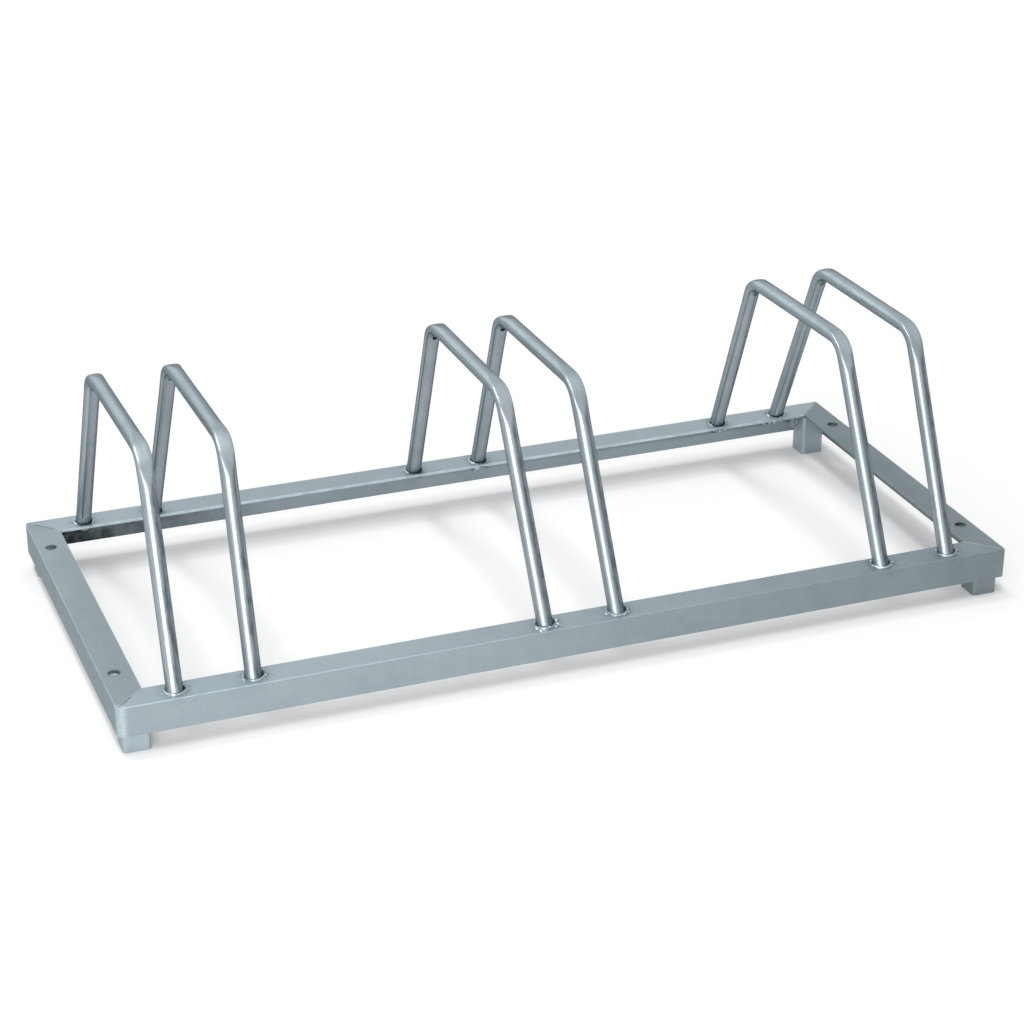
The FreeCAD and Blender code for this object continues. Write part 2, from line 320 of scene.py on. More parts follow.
# Painted shade on the inner face of the far rail's hanging leg: dark spots under the toe, a dark
# patch in the far-left corner under the flange, and a band under the flange that darkens towards
# the right.
def farRailEffects(tree, spot, axes, patchy):
    effects = []
    innerFace = addRamp(tree, axes, "Y", *details["innerFace"])
    squash = details["shadeSpotSquash"]
    flat = tree.nodes.new("ShaderNodeMapping")
    flat.inputs["Scale"].default_value = (1, 1, squash)
    link(tree, spot[0], spot[1], flat, "Vector")
    # Spots of painted shade just under the toe.
    for x, z, size in details["underToe"]:
        point = (x * mm, details["shadeSpotPlane"], z * mm * squash)
        reach = (size * mm, details["underToeFull"] * size * mm)
        smear = nearPoints(tree, (flat, "Vector"), [point], reach)
        effects.append((addMath(tree, "MULTIPLY", smear, innerFace), markWeights["underToe"]))
    depths = [rack["top"] - flanges * rack["flange"] for flanges in details["insideFlanges"]]
    inside = addMath(tree, "MULTIPLY", addRamp(tree, axes, "Z", *depths), innerFace)
    # A dark patch of painted shade in the far-left corner, under the flange.
    cornerShade = nearPoints(tree, spot, [details["cornerShade"]], details["cornerShadeReach"])
    patchyAway = addMath(tree, "MULTIPLY", patchy, details["cornerShadePatchy"])
    cornerShade = addMath(tree, "MULTIPLY", cornerShade, addMath(tree, "SUBTRACT", 1.0, patchyAway))
    effects.append((addMath(tree, "MULTIPLY", cornerShade, inside), markWeights["cornerShade"]))
    under = addMath(tree, "MULTIPLY", addRamp(tree, axes, "Z", *details["shadeHeight"]), inside)
    rightward = addRamp(tree, axes, "X", *details["shadeFade"])
    effects.append((addMath(tree, "MULTIPLY", under, rightward), markWeights["underShade"]))
    return effects


# What lightens and darkens a rail's zinc, with how much: painted highlights along the edges, the
# ground corner (ground metal and a painted highlight), heat and painted shade round the welds,
# painted shade on the far rail, the left rail's outer face painted lighter where the key light
# falls, and darker rims round the holes.
def railEffects(tree, name, spot, axes, ground):
    isFar = name.startswith("far")
    heel, toe = alongEdges(tree, axes)
    patchy = addPattern(tree, spot, "patchy")
    # The painted highlight along the heel fades out towards the right, away from the key light.
    leftward = addRamp(tree, axes, "X", *details["heelFade"])
    heel = addMath(tree, "MULTIPLY", heel, addMath(tree, "MULTIPLY", patchy, leftward))
    toePatchy = addMath(tree, "MULTIPLY", patchy, details["toePatchy"])
    toe = addMath(tree, "MULTIPLY", toe, addMath(tree, "ADD", details["toeEven"], toePatchy))
    effects = [
        (heel, markWeights["heel"]),
        (toe, markWeights["farToe" if isFar else "toe"]),
        (ground, markWeights["ground"]),
    ]
    if name.startswith(("near", "far")):
        effects += weldEffects(tree, spot)
    if isFar:
        effects += farRailEffects(tree, spot, axes, patchy)
    if name.startswith("left"):
        # The left rail's outer face is painted lighter, as the key light falls on it.
        planes = [shift - rack["length"] / 2 for shift in details["litOuterFace"]]
        effects.append((addRamp(tree, axes, "X", *planes), markWeights["litOuterFace"]))
    if name.startswith(("left", "right")):
        holes = [
            (x * details["holeX"], y * details["holeY"], rack["top"])
            for x in (-1, 1) for y in (-1, 1)
        ]
        rims = nearPoints(tree, spot, holes, details["holeRim"])
        effects.append((rims, markWeights["holeRim"]))
    return effects


# The tubes' own marks and what they do to the roughness: lines and scratches along the tube, its
# seam, and marbled zinc low on the near legs, kept to their right side, away from the key light, so
# that it is partly painted shade.
def tubeEffects(tree, where, axes):
    along = (where, "UV")
    lines = addPattern(tree, along, "lines")
    marble = addPattern(tree, along, "marble")
    split = tree.nodes.new("ShaderNodeSeparateXYZ")
    link(tree, where, "UV", split, "Vector")
    fromSeam = addMath(tree, "ABSOLUTE", (split, "X"))
    seam = addRamp(tree, fromSeam[0], "Value", *tubeMarks["seamWidth"])
    beside = addMath(tree, "SUBTRACT", (split, "X"), tubeMarks["besidePlace"])
    beside = addMath(tree, "ABSOLUTE", beside)
    beside = addRamp(tree, beside[0], "Value", *tubeMarks["besideWidth"])
    onNearLeg = addRamp(tree, axes, "Y", *tubeMarks["nearLegs"])
    scratches = addPattern(tree, along, "scratches")
    # The marble is kept to the side facing right, away from the key light, as painted shade.
    facing = tree.nodes.new("ShaderNodeSeparateXYZ")
    link(tree, where, "Normal", facing, "Vector")
    shadedRight = addRamp(tree, facing, "X", *tubeMarks["shadedSide"])
    marbleAndShade = addMath(tree, "MULTIPLY", marble, addMath(tree, "MULTIPLY", onNearLeg, shadedRight))
    parts = [
        (lines, tubeMarks["lines"]), (scratches, tubeMarks["scratches"]),
        (marbleAndShade, tubeMarks["marble"]), (seam, tubeMarks["seam"]), (beside, tubeMarks["beside"]),
    ]
    return parts, [(marbleAndShade, surface["marbleShine"])]


# The colour scaled by the piece's tone along the rack, which is partly painted shade, and by its
# marks, with what the ground corner does to the roughness.
def toneAndShadeColour(tree, colour, name, tonesAndShade, spot, axes, grain):
    half = rack["length"] / 2
    # Painted shade along the rack: the tone changes from the middle of the rack to its right end.
    tone = tree.nodes.new("ShaderNodeMapRange")
    tone.inputs["From Min"].default_value = surface["toneStart"] * half
    tone.inputs["From Max"].default_value = half
    tone.inputs["To Min"].default_value = tonesAndShade[0]
    tone.inputs["To Max"].default_value = tonesAndShade[1]
    link(tree, axes, "X", tone, "Value")
    # The ground corner is lighter as ground metal and as a painted highlight.
    ground = nearCorner(tree, axes)
    scores = addPattern(tree, spot, "scores")
    marks = addSum(tree, [(scores, surface["groundScores"]), (grain, surface["groundGrain"])])
    marks = addMath(tree, "ADD", surface["groundBase"], marks)
    ground = addMath(tree, "MULTIPLY", ground, marks)
    effects = []
    if name.endswith("_rail_zinc"):
        effects = railEffects(tree, name, spot, axes, ground)
    elif name == "weld_metal_zinc":
        effects = [
            # Painted shade in the gaps beside the legs.
            (ground, markWeights["ground"]),
            (legGaps(tree, spot), markWeights["weldGaps"]),
        ]
    level = addMath(tree, "ADD", (tone, "Result"), addSum(tree, effects))
    level = addMath(tree, "MAXIMUM", level, surface["darkest"])
    scale = tree.nodes.new("ShaderNodeVectorMath")
    scale.operation = "SCALE"
    tree.links.new(colour, scale.inputs[0])
    link(tree, level[0], "Value", scale, "Scale")
    return scale.outputs["Vector"], [(ground, surface["groundShine"])]


def makeZinc(name, look, tonesAndShade=(1.0, 1.0), isTube=False):
    material = bpy.data.materials.new(name)
    material.use_nodes = True
    tree = material.node_tree
    shader = tree.nodes["Principled BSDF"]
    shader.inputs["Metallic"].default_value = look["metallic"]
    shader.inputs["Specular Tint"].default_value = details["edgeColour"]
    where = tree.nodes.new("ShaderNodeTexCoord")
    spot = (where, "Object")
    axes = tree.nodes.new("ShaderNodeSeparateXYZ")
    link(tree, where, "Object", axes, "Vector")

    clouds, patches, grain, pits = [
        addPattern(tree, spot, pattern) for pattern in ("clouds", "patches", "grain", "pits")
    ]
    parts = [
        (clouds, look["clouds"]), (patches, look["patches"]),
        (grain, look["grain"] * surface["grainShade"]), (pits, look["pits"]),
    ]
    shine = [(grain, surface["grainShine"]), (clouds, surface["cloudShine"])]
    if isTube:
        tubeParts, tubeShine = tubeEffects(tree, where, axes)
        parts += tubeParts
        shine += tubeShine
    shade = addSum(tree, parts)

    tint = tree.nodes.new("ShaderNodeMix")
    tint.data_type = "RGBA"
    tint.inputs["A"].default_value = (*look["light"], 1)
    tint.inputs["B"].default_value = (*look["dark"], 1)
    link(tree, shade[0], "Value", tint, "Factor")
    colour = tint.outputs["Result"]
    if not isTube:
        colour, groundShine = toneAndShadeColour(tree, colour, name, tonesAndShade, spot, axes, grain)
        shine += groundShine
    tree.links.new(colour, shader.inputs["Base Color"])

    rough = addMath(tree, "ADD", addSum(tree, shine), look["roughness"] - surface["shineMiddle"])
    link(tree, rough[0], "Value", shader, "Roughness")

    ripples = addNoise(tree, spot, surface["rippleScale"], surface["rippleDetail"])
    height = addSum(tree, [
        (grain, surface["grainHeight"] * look["grain"]), ((ripples, "Fac"), look["ripple"]),
        (pits, surface["pitHeight"] * look["pits"]),
    ])
    bump = tree.nodes.new("ShaderNodeBump")
    bump.inputs["Strength"].default_value = look["bump"]
    bump.inputs["Distance"].default_value = surface["bumpDistance"]
    link(tree, height[0], "Value", bump, "Height")
    link(tree, bump, "Normal", shader, "Normal")
    return material


# Each hoop is one tube, flattened on the outside of its two bends. Errors, leans and press depths
# are in mm, and the turns of the seams in degrees from the outside of the bend.
hoops = {
    "radius": 9 * mm,
    "wall": 2 * mm,
    "height": 300 * mm,
    "shoulder": 112 * mm,
    "bendRadius": 30 * mm,
    "tail": 7 * mm,
    "spacing": 85 * mm,
    "pitch": 415 * mm,
    "offset": -1.2 * mm,
    "topError": (-8, -8, -1, -2, 0, 1),
    "shoulderError": (2, 3, 0, 0, -5, -2),
    "farLean": (4, 7, -8.5, -8.5, -11, -2.5),
    "nearLean": (6, 8, -8, -6.5, -4, 0.5),
    "ringSides": 56,
    "bendSteps": 22,
    "runStep": 5 * mm,
    "fewestRunSteps": 4,
    "farPressDepth": (5.2, 6.8, 7.4, 7.6, 5.0, 5.0),
    "nearPressDepth": 5.8,
    "pressSoftness": (3.4 * mm, 1.4 * mm),
    "pressReach": 43 * mm,
    "pressWiden": 0.05,
    "ventRadius": 3 * mm,
    "ventTurn": 14 * degree,
    "ventDimple": 0.5 * mm,
    "ventSides": 40,
    "ventTaper": 1.25,
    "ventsOpen": (False, False, True, True, False, False),
    "seamTurn": (-154, -134, -122, -125, -130, -134),
    "sharpAngle": 35 * degree,
}


# Where a hoop's legs stand along the rack.
def hoopX(number):
    pair, side = divmod(number, 2)
    return hoops["offset"] + (pair - 1) * hoops["pitch"] + (side - 0.5) * hoops["spacing"]


materials = {}
for slotName, look in zinc.items():
    materials[slotName] = makeZinc(slotName + "_zinc", look, isTube=slotName == "hoop_steel")
for pieceName, tonesAndShade in pieceTonesAndShade.items():
    look = zinc["foot_steel" if pieceName.startswith("foot") else "frame_steel"]
    materials[pieceName] = makeZinc(pieceName + "_zinc", look, tonesAndShade)
for entry in frame["record"]["subparts"]:
    node = frame["nodes"][entry["node"]]
    coat = materials.get(entry["node"], materials[entry["material_slot"]])
    for index in range(len(node.material_slots)):
        node.material_slots[index].material = coat
print("zinc on the frame")


# A hoop's axis at its far base, far bend, near bend and near base, as in the solids.
def hoopCorners(number):
    x = hoopX(number)
    y = rack["depth"] / 2 - rack["legInset"]
    z = hoops["height"] + hoops["topError"][number] * mm - hoops["radius"]
    shoulder = hoops["shoulder"] + hoops["shoulderError"][number] * mm
    return [
        Vector((x, y, rack["top"])),
        Vector((x + hoops["farLean"][number] * mm, shoulder, z)),
        Vector((x + hoops["nearLean"][number] * mm, -shoulder, z)),
        Vector((x, -y, rack["top"])),
    ]


def bendAt(before, corner, after):
    come = (corner - before).normalized()
    go = (after - corner).normalized()
    turn = come.angle(go)
    setback = hoops["bendRadius"] * math.tan(turn / 2)
    axis = come.cross(go).normalized()
    start = corner - come * setback
    pivot = start + axis.cross(come) * hoops["bendRadius"]
    end = corner + go * setback
    return {"start": start, "end": end, "pivot": pivot, "axis": axis, "turn": turn}


# Extrudes a ring of edges and moves the new ring by the matrix.
def pushRing(bm, edges, matrix):
    grown = bmesh.ops.extrude_edge_only(bm, edges=edges)["geom"]
    verts = [item for item in grown if isinstance(item, bmesh.types.BMVert)]
    newEdges = [item for item in grown if isinstance(item, bmesh.types.BMEdge)]
    bmesh.ops.transform(bm, matrix=matrix, verts=verts)
    return verts, newEdges


def turnAbout(pivot, axis, angle):
    return Matrix.Translation(pivot) @ Matrix.Rotation(angle, 4, axis) @ Matrix.Translation(-pivot)


# Equal steps along a straight run, short enough for the pressed part of the tube.
def runSteps(length):
    count = max(hoops["fewestRunSteps"], round(length / hoops["runStep"]))
    return [length / count] * count


# A tube skin along the corners. Returns its rings as (verts, centre, direction, distance) and the
# bends' middles.
def growTube(bm, corners):
    heading = (corners[1] - corners[0]).normalized()
    place = Matrix.Translation(corners[0]) @ heading.to_track_quat("Z", "Y").to_matrix().to_4x4()
    verts = bmesh.ops.create_circle(
        bm, segments=hoops["ringSides"], radius=hoops["radius"], matrix=place,
    )["verts"]
    edges = list({edge for vert in verts for edge in vert.link_edges})
    centre = corners[0].copy()
    distance = 0.0
    rings = [(verts, centre.copy(), heading.copy(), distance)]
    middles = []
    bends = [bendAt(*corners[index:index + 3]) for index in range(len(corners) - 2)]
    for index in range(len(corners) - 1):
        runEnd = bends[index]["start"] if index < len(bends) else corners[-1]
        heading = (runEnd - centre).normalized()
        for step in runSteps((runEnd - centre).length):
            verts, edges = pushRing(bm, edges, Matrix.Translation(heading * step))
            centre = centre + heading * step
            distance += step
            rings.append((verts, centre.copy(), heading.copy(), distance))
        if index == len(bends):
            break
        bend = bends[index]
        angle = bend["turn"] / hoops["bendSteps"]
        middles.append(distance + bend["turn"] * hoops["bendRadius"] / 2)
        for step in range(hoops["bendSteps"]):
            move = turnAbout(bend["pivot"], bend["axis"], angle)
            verts, edges = pushRing(bm, edges, move)
            centre = move @ centre
            heading = move.to_3x3() @ heading
            distance += angle * hoops["bendRadius"]
            rings.append((verts, centre.copy(), heading.copy(), distance))
    return rings, middles


# Flattens the outside of each bend, as a press bender does, and widens the tube a little there.
def pressBends(rings, middles, number):
    across = Vector((1, 0, 0))
    depths = (hoops["farPressDepth"][number] * mm, hoops["nearPressDepth"] * mm)
    for verts, centre, heading, distance in rings:
        away, bend = min((abs(distance - middle), index) for index, middle in enumerate(middles))
        away /= hoops["pressReach"]
        if away >= 1:
            continue
        press = (1 - away * away) ** 2
        outward = heading.cross(across).normalized()
        limit = hoops["radius"] - depths[bend] * press
        soft = hoops["pressSoftness"][bend]
        for vert in verts:
            offset = vert.co - centre
            out = offset.dot(outward)
            side = offset - outward * out
            if out > limit:
                out = limit + soft * (1 - math.exp(-(out - limit) / soft))
            vert.co = centre + side * (1 + hoops["pressWiden"] * press) + outward * out


# A UV map in metres: U round the tube from its seam and V along it.
def unwrapTube(bm, rings, number):
    seamTurn = hoops["seamTurn"][number] * degree
    layer = bm.loops.layers.uv.new("along")
    places = {}
    for verts, centre, heading, distance in rings:
        outward = heading.cross(Vector((1, 0, 0))).normalized()
        for vert in verts:
            offset = vert.co - centre
            turn = math.atan2(offset.x, offset.dot(outward)) - seamTurn
            places[vert] = (math.remainder(turn, 2 * math.pi), distance + number)
    for face in bm.faces:
        angles = [places[loop.vert][0] for loop in face.loops]
        wraps = max(angles) - min(angles) > math.pi
        for loop in face.loops:
            angle, distance = places[loop.vert]
            if wraps and angle < 0:
                angle += 2 * math.pi
            loop[layer].uv = (angle * hoops["radius"], distance)


def newMesh(name, bm):
    mesh = bpy.data.meshes.new(name)
    bm.to_mesh(mesh)
    bm.free()
    thing = bpy.data.objects.new(name, mesh)
    bpy.context.scene.collection.objects.link(thing)
    return thing


def newPiece(name, bm, material):
    piece = newMesh(name, bm)
    piece.data.materials.append(material)
    piece.data.shade_smooth()
    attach(piece, "root")
    return piece


def markSharp(bm, limit):
    for edge in bm.edges:
        if len(edge.link_faces) == 2 and edge.calc_face_angle(0) > limit:
            edge.smooth = False


# A tapered drill on the inside of the far bend, which leaves a small rim.
def ventDrill(number, corners):
    bend = bendAt(*corners[:3])
    atStart = (bend["start"] - bend["pivot"]).normalized()
    outward = Matrix.Rotation(hoops["ventTurn"], 3, bend["axis"]) @ atStart
    wallFace = bend["pivot"] + outward * (hoops["bendRadius"] - hoops["radius"])
    depth = hoops["radius"] if hoops["ventsOpen"][number] else hoops["ventDimple"]
    bm = bmesh.new()
    place = Matrix.Translation(wallFace) @ outward.to_track_quat("Z", "Y").to_matrix().to_4x4()
    bmesh.ops.create_cone(
        bm, cap_ends=True, segments=hoops["ventSides"], depth=2 * depth, matrix=place,
        radius1=hoops["ventRadius"] * hoops["ventTaper"], radius2=hoops["ventRadius"],
    )
    return newMesh("drill", bm)


# Fixes the modifiers' result into the piece's own mesh.
def applyModifiers(piece):
    bpy.context.view_layer.update()
    evaluated = piece.evaluated_get(bpy.context.evaluated_depsgraph_get())
    mesh = bpy.data.meshes.new_from_object(evaluated)
    piece.modifiers.clear()
    piece.data = mesh


def makeHoop(number):
    corners = hoopCorners(number)
    ends = [corners[0], corners[3]]
    for end, (base, bend) in enumerate(((corners[0], corners[1]), (corners[3], corners[2]))):
        down = (base - bend).normalized()
        ends[end] = base + down * (hoops["tail"] / -down.z)
    bm = bmesh.new()
    rings, middles = growTube(bm, [ends[0], corners[1], corners[2], ends[1]])
    unwrapTube(bm, rings, number)
    pressBends(rings, middles, number)
    bmesh.ops.recalc_face_normals(bm, faces=bm.faces)
    piece = newPiece("tube_hoop_%d" % (number + 1), bm, materials["hoop_steel"])
    wall = piece.modifiers.new("wall", "SOLIDIFY")
    wall.thickness = hoops["wall"]
    wall.offset = -1
    drill = ventDrill(number, corners)
    cut = piece.modifiers.new("vent", "BOOLEAN")
    cut.operation = "DIFFERENCE"
    cut.solver = "EXACT"
    cut.object = drill
    applyModifiers(piece)
    bpy.data.objects.remove(drill)
    bm = bmesh.new()
    bm.from_mesh(piece.data)
    markSharp(bm, hoops["sharpAngle"])
    bm.to_mesh(piece.data)
    bm.free()
    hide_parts("hoop_%d" % (number + 1))


for number in range(rack["hoopCount"]):
    makeHoop(number)
print("six hoops bent")


# A leg weld is a thin uneven bead round a leg, with the lumps that the welder left. It thins out
# over the last taper degrees at each end.
beads = {
    "width": 4.4 * mm,
    "height": 1.8 * mm,
    "set": 1.9 * mm,
    "steps": 90,
    "profileSides": 14,
    "unevenness": 0.55 * mm,
    "fineShare": 0.25,
    "coarseSize": 4.2 * mm,
    "fineSize": 1.3 * mm,
    "sink": 1.2 * mm,
    "taper": 16,
    "thinnest": 0.35,
    "fewestSteps": 12,
}

roundness = 4
noiseShifts = (Vector((31, 7, 5)), Vector((3, 53, 11)))

# For each leg: the bead's start and end turn in degrees, from the right (0) and the front (-90),
# and its lumps as turn, distance from the tube and three half sizes in mm.
legBeads = {
    "near": (
        {"arc": (26, 344), "lumps": (
            (-8, 4.6, 5.4, 3.4, 1.5), (-30, 3.4, 3.2, 2.6, 1.7), (-52, 2.8, 2.4, 2.0, 1.1),
        )},
        {"arc": (-140, 186), "lumps": (
            (-14, 4.0, 3.8, 2.8, 1.9), (12, 3.0, 2.8, 2.2, 2.2), (-160, 4.2, 3.6, 2.0, 1.0),
            (-44, 3.2, 2.6, 2.2, 1.2),
        )},
        {"arc": (-152, 170), "lumps": (
            (-118, 4.8, 6.4, 4.4, 3.5), (-150, 5.6, 4.6, 3.6, 3.0), (-90, 3.0, 4.4, 2.8, 3.0),
            (-128, 9.0, 3.4, 2.4, 2.0), (-22, 5.2, 4.4, 3.4, 2.4), (6, 5.0, 3.8, 3.2, 2.9),
            (-46, 4.8, 3.0, 2.4, 1.6), (28, 3.4, 3.0, 2.6, 3.0), (-34, 8.0, 2.0, 1.7, 1.3),
        )},
        {"arc": (0, 360), "lumps": (
            (-10, 0.8, 1.7, 1.9, 5.2), (-28, 4.0, 4.2, 3.2, 1.9), (4, 4.6, 3.4, 3.2, 1.8),
            (-168, 4.4, 3.4, 3.0, 1.7), (-62, 2.9, 3.8, 2.4, 1.9), (-118, 2.9, 3.8, 2.4, 1.9),
        )},
        {"arc": (-176, 150), "lumps": (
            (-12, 3.2, 2.4, 4.0, 1.7), (-38, 3.8, 2.2, 2.2, 1.3), (-170, 2.2, 1.8, 1.8, 1.2),
        )},
        {"arc": (-170, 160), "lumps": (
            (-10, 3.4, 2.4, 4.2, 1.8), (-42, 3.4, 2.2, 2.0, 1.2), (24, 2.2, 2.2, 2.2, 1.6),
        )},
    ),
    "far": (
        {"arc": (-40, 215), "lumps": (
            (-160, 2.2, 2.6, 2.4, 1.8), (-24, 2.4, 2.2, 2.0, 1.4),
        )},
        {"arc": (-24, 205), "lumps": (
            (-20, 2.4, 2.2, 2.2, 1.6),
        )},
        {"arc": (-44, 216), "lumps": (
            (-152, 2.4, 2.6, 2.2, 1.9), (-36, 2.2, 2.0, 1.8, 1.3),
        )},
        {"arc": (-30, 236), "lumps": (
            (-150, 2.8, 2.8, 2.4, 2.0), (-118, 2.6, 2.4, 1.8, 1.4), (-30, 2.8, 2.6, 2.4, 1.7),
            (-92, 2.2, 1.8, 1.4, 1.0),
        )},
        {"arc": (-50, 220), "lumps": (
            (-26, 3.0, 3.2, 2.6, 1.9), (-52, 2.6, 2.2, 1.8, 1.3), (4, 3.0, 2.4, 2.4, 1.8),
        )},
        {"arc": (-60, 200), "lumps": (
            (-164, 3.2, 2.8, 2.6, 2.0), (-84, 2.8, 3.0, 1.8, 1.3), (-56, 2.6, 2.2, 1.8, 1.5),
            (-20, 2.6, 2.4, 2.4, 1.6),
        )},
    ),
}


# Moves the points of a bead in and out, as cast metal sets unevenly.
def roughen(verts, amount, size, middle):
    for vert in verts:
        place = vert.co / size
        shifted = [noise.noise(place + shift) for shift in noiseShifts]
        vert.co += Vector((noise.noise(place), *shifted)) * amount
        vert.co.z = max(vert.co.z, middle.z - beads["sink"])


def addBead(bm, base, stretch, arc):
    full = arc[1] - arc[0] >= 360
    sweep = 2 * math.pi if full else (arc[1] - arc[0]) * degree
    reach = hoops["radius"] + beads["set"]
    turnToStart = Matrix.Rotation(arc[0] * degree, 4, "Z")
    flatten = Matrix.Diagonal((beads["width"] / 2, beads["height"], 1, 1))
    shape = Matrix.Rotation(math.pi / 2, 4, "X") @ flatten
    place = turnToStart @ Matrix.Translation((reach, 0, 0)) @ shape
    profile = bmesh.ops.create_circle(
        bm, segments=beads["profileSides"], radius=1, matrix=place,
    )["verts"]
    edges = list({edge for vert in profile for edge in vert.link_edges})
    steps = max(beads["fewestSteps"], round(beads["steps"] * sweep / (2 * math.pi)))
    bmesh.ops.spin(
        bm, geom=profile + edges, cent=(0, 0, 0), axis=(0, 0, 1),
        angle=sweep, steps=steps, use_merge=full,
    )
    verts = list(bm.verts)
    if not full:
        ends = [edge for edge in bm.edges if edge.is_boundary]
        bmesh.ops.holes_fill(bm, edges=ends, sides=0)
        for vert in verts:
            turn = (math.degrees(math.atan2(vert.co.y, vert.co.x)) - arc[0]) % 360
            left = min(turn, abs(arc[1] - arc[0] - turn))
            if turn > arc[1] - arc[0]:
                left = 0
            thin = beads["thinnest"] + (1 - beads["thinnest"]) * min(1, left / beads["taper"])
            core = Vector((vert.co.x, vert.co.y, 0)).normalized() * reach
            vert.co = core + (vert.co - core) * thin
    place = Matrix.Translation(base) @ Matrix.Diagonal((1, stretch, 1, 1))
    bmesh.ops.transform(bm, matrix=place, verts=verts)


def addLump(bm, base, stretch, lump):
    turn, out, wide, deep, tall = lump
    reach = hoops["radius"] + out * mm
    angle = turn * degree
    middle = base + Vector((math.cos(angle) * reach, math.sin(angle) * reach * stretch, 0))
    place = Matrix.Translation(middle) @ Matrix.Rotation(turn * degree, 4, "Z")
    place = place @ Matrix.Diagonal((deep * mm, wide * mm, tall * mm, 1))
    bmesh.ops.create_icosphere(bm, subdivisions=roundness, radius=1, matrix=place)


def makeLegWeld(side, number):
    corners = hoopCorners(number)
    base, bend = (corners[3], corners[2]) if side == "near" else (corners[0], corners[1])
    lean = (bend - base).normalized()
    stretch = 1 / lean.z
    weld = legBeads[side][number]
    bm = bmesh.new()
    addBead(bm, base, stretch, weld["arc"])
    for lump in weld["lumps"]:
        addLump(bm, base, stretch, lump)
    roughen(bm.verts, beads["unevenness"], beads["coarseSize"], base)
    roughen(bm.verts, beads["fineShare"] * beads["unevenness"], beads["fineSize"], base)
    bmesh.ops.recalc_face_normals(bm, faces=bm.faces)
    nodeName = "%s_leg_weld_%d" % (side, number + 1)
    piece = newPiece("bead_" + nodeName, bm, materials["weld_metal"])
    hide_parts(nodeName)


for side in legBeads:
    for number in range(rack["hoopCount"]):
        makeLegWeld(side, number)
print("twelve leg welds run")


# Zinc that ran down and set: a middle and three half sizes for each drip, in mm.
drips = {
    "unevenness": 0.4 * mm,
    "grainSize": 3 * mm,
    "places": (
        ((38, 204.4, 52.6), (5.0, 1.5, 2.6)),
        ((33, 204.6, 51.8), (1.6, 1.2, 2.4)),
        ((43, 204.8, 52), (1.8, 1.3, 2.6)),
        ((371, 204.4, 52.4), (4.6, 1.5, 2.4)),
        ((377, 204.6, 53), (2.4, 1.6, 2.8)),
        ((366, 204.8, 52), (1.8, 1.2, 2.6)),
        ((449, 204.4, 52.8), (4.4, 1.6, 2.8)),
        ((457, 204.6, 53.4), (3.4, 1.6, 2.6)),
        ((441, 204.8, 52.4), (2.4, 1.3, 2.4)),
        ((432, 204.9, 52.8), (2.2, 1.2, 1.8)),
        ((475, 205.5, 50), (1.2, 1.1, 5.2)),
        ((480, 206, 46.5), (1.5, 1.2, 3.6)),
        ((486, 204.6, 55.8), (2.6, 2.2, 2.2)),
        ((488, 203.4, 56.6), (2.0, 2.4, 1.4)),
    ),
}


def makeDrips():
    bm = bmesh.new()
    for middle, sizes in drips["places"]:
        shape = Matrix.Diagonal((*(size * mm for size in sizes), 1))
        place = Matrix.Translation(Vector(middle) * mm) @ shape
        bmesh.ops.create_icosphere(bm, subdivisions=roundness, radius=1, matrix=place)
    for vert in bm.verts:
        spot = vert.co / drips["grainSize"]
        push = Vector((noise.noise(spot), noise.noise(spot + noiseShifts[0]), 0))
        vert.co += push * drips["unevenness"]
    newPiece("far_rail_drips", bm, materials["weld_metal"])


makeDrips()
print("drips set")


studio = {
    "floorSize": 60,
    "floorColour": (0.66, 0.66, 0.66, 1),
    "floorBounce": (0.80, 0.80, 0.80, 1),
    "floorGlow": 0.37,
    "floorGlowFar": 0.12,
    "floorGlowRise": (0.8, 1.8),
    "contactSamples": 4,
    "contactReach": 0.07,
    "contactShare": 0.85,
    "glossGlow": 0.3,
    "worldLight": 0.42,
    "sunStrength": 1.55,
    "sunWidth": 12 * degree,
    "sunTilt": 9 * degree,
    "sunLeans": (-15 * degree, 0, 15 * degree),
    "keyPlace": (-1.30, -1.68, 0.82),
    "keyAim": (-0.1, 0, 0.12),
    "keySize": (1.1, 0.95),
    "keyPower": 19,
    "backPlace": (-0.95, 2.2, 1.2),
    "backAim": (0, 0, 0.15),
    "backSize": (2.0, 1.3),
    "backPower": 6,
    "cardAim": (0, 0, 0.15),
    "cards": {
        "front_card": {"place": (1.5, -1.35, 0.5), "size": (2.2, 1.4), "grey": 0.24},
    },
}


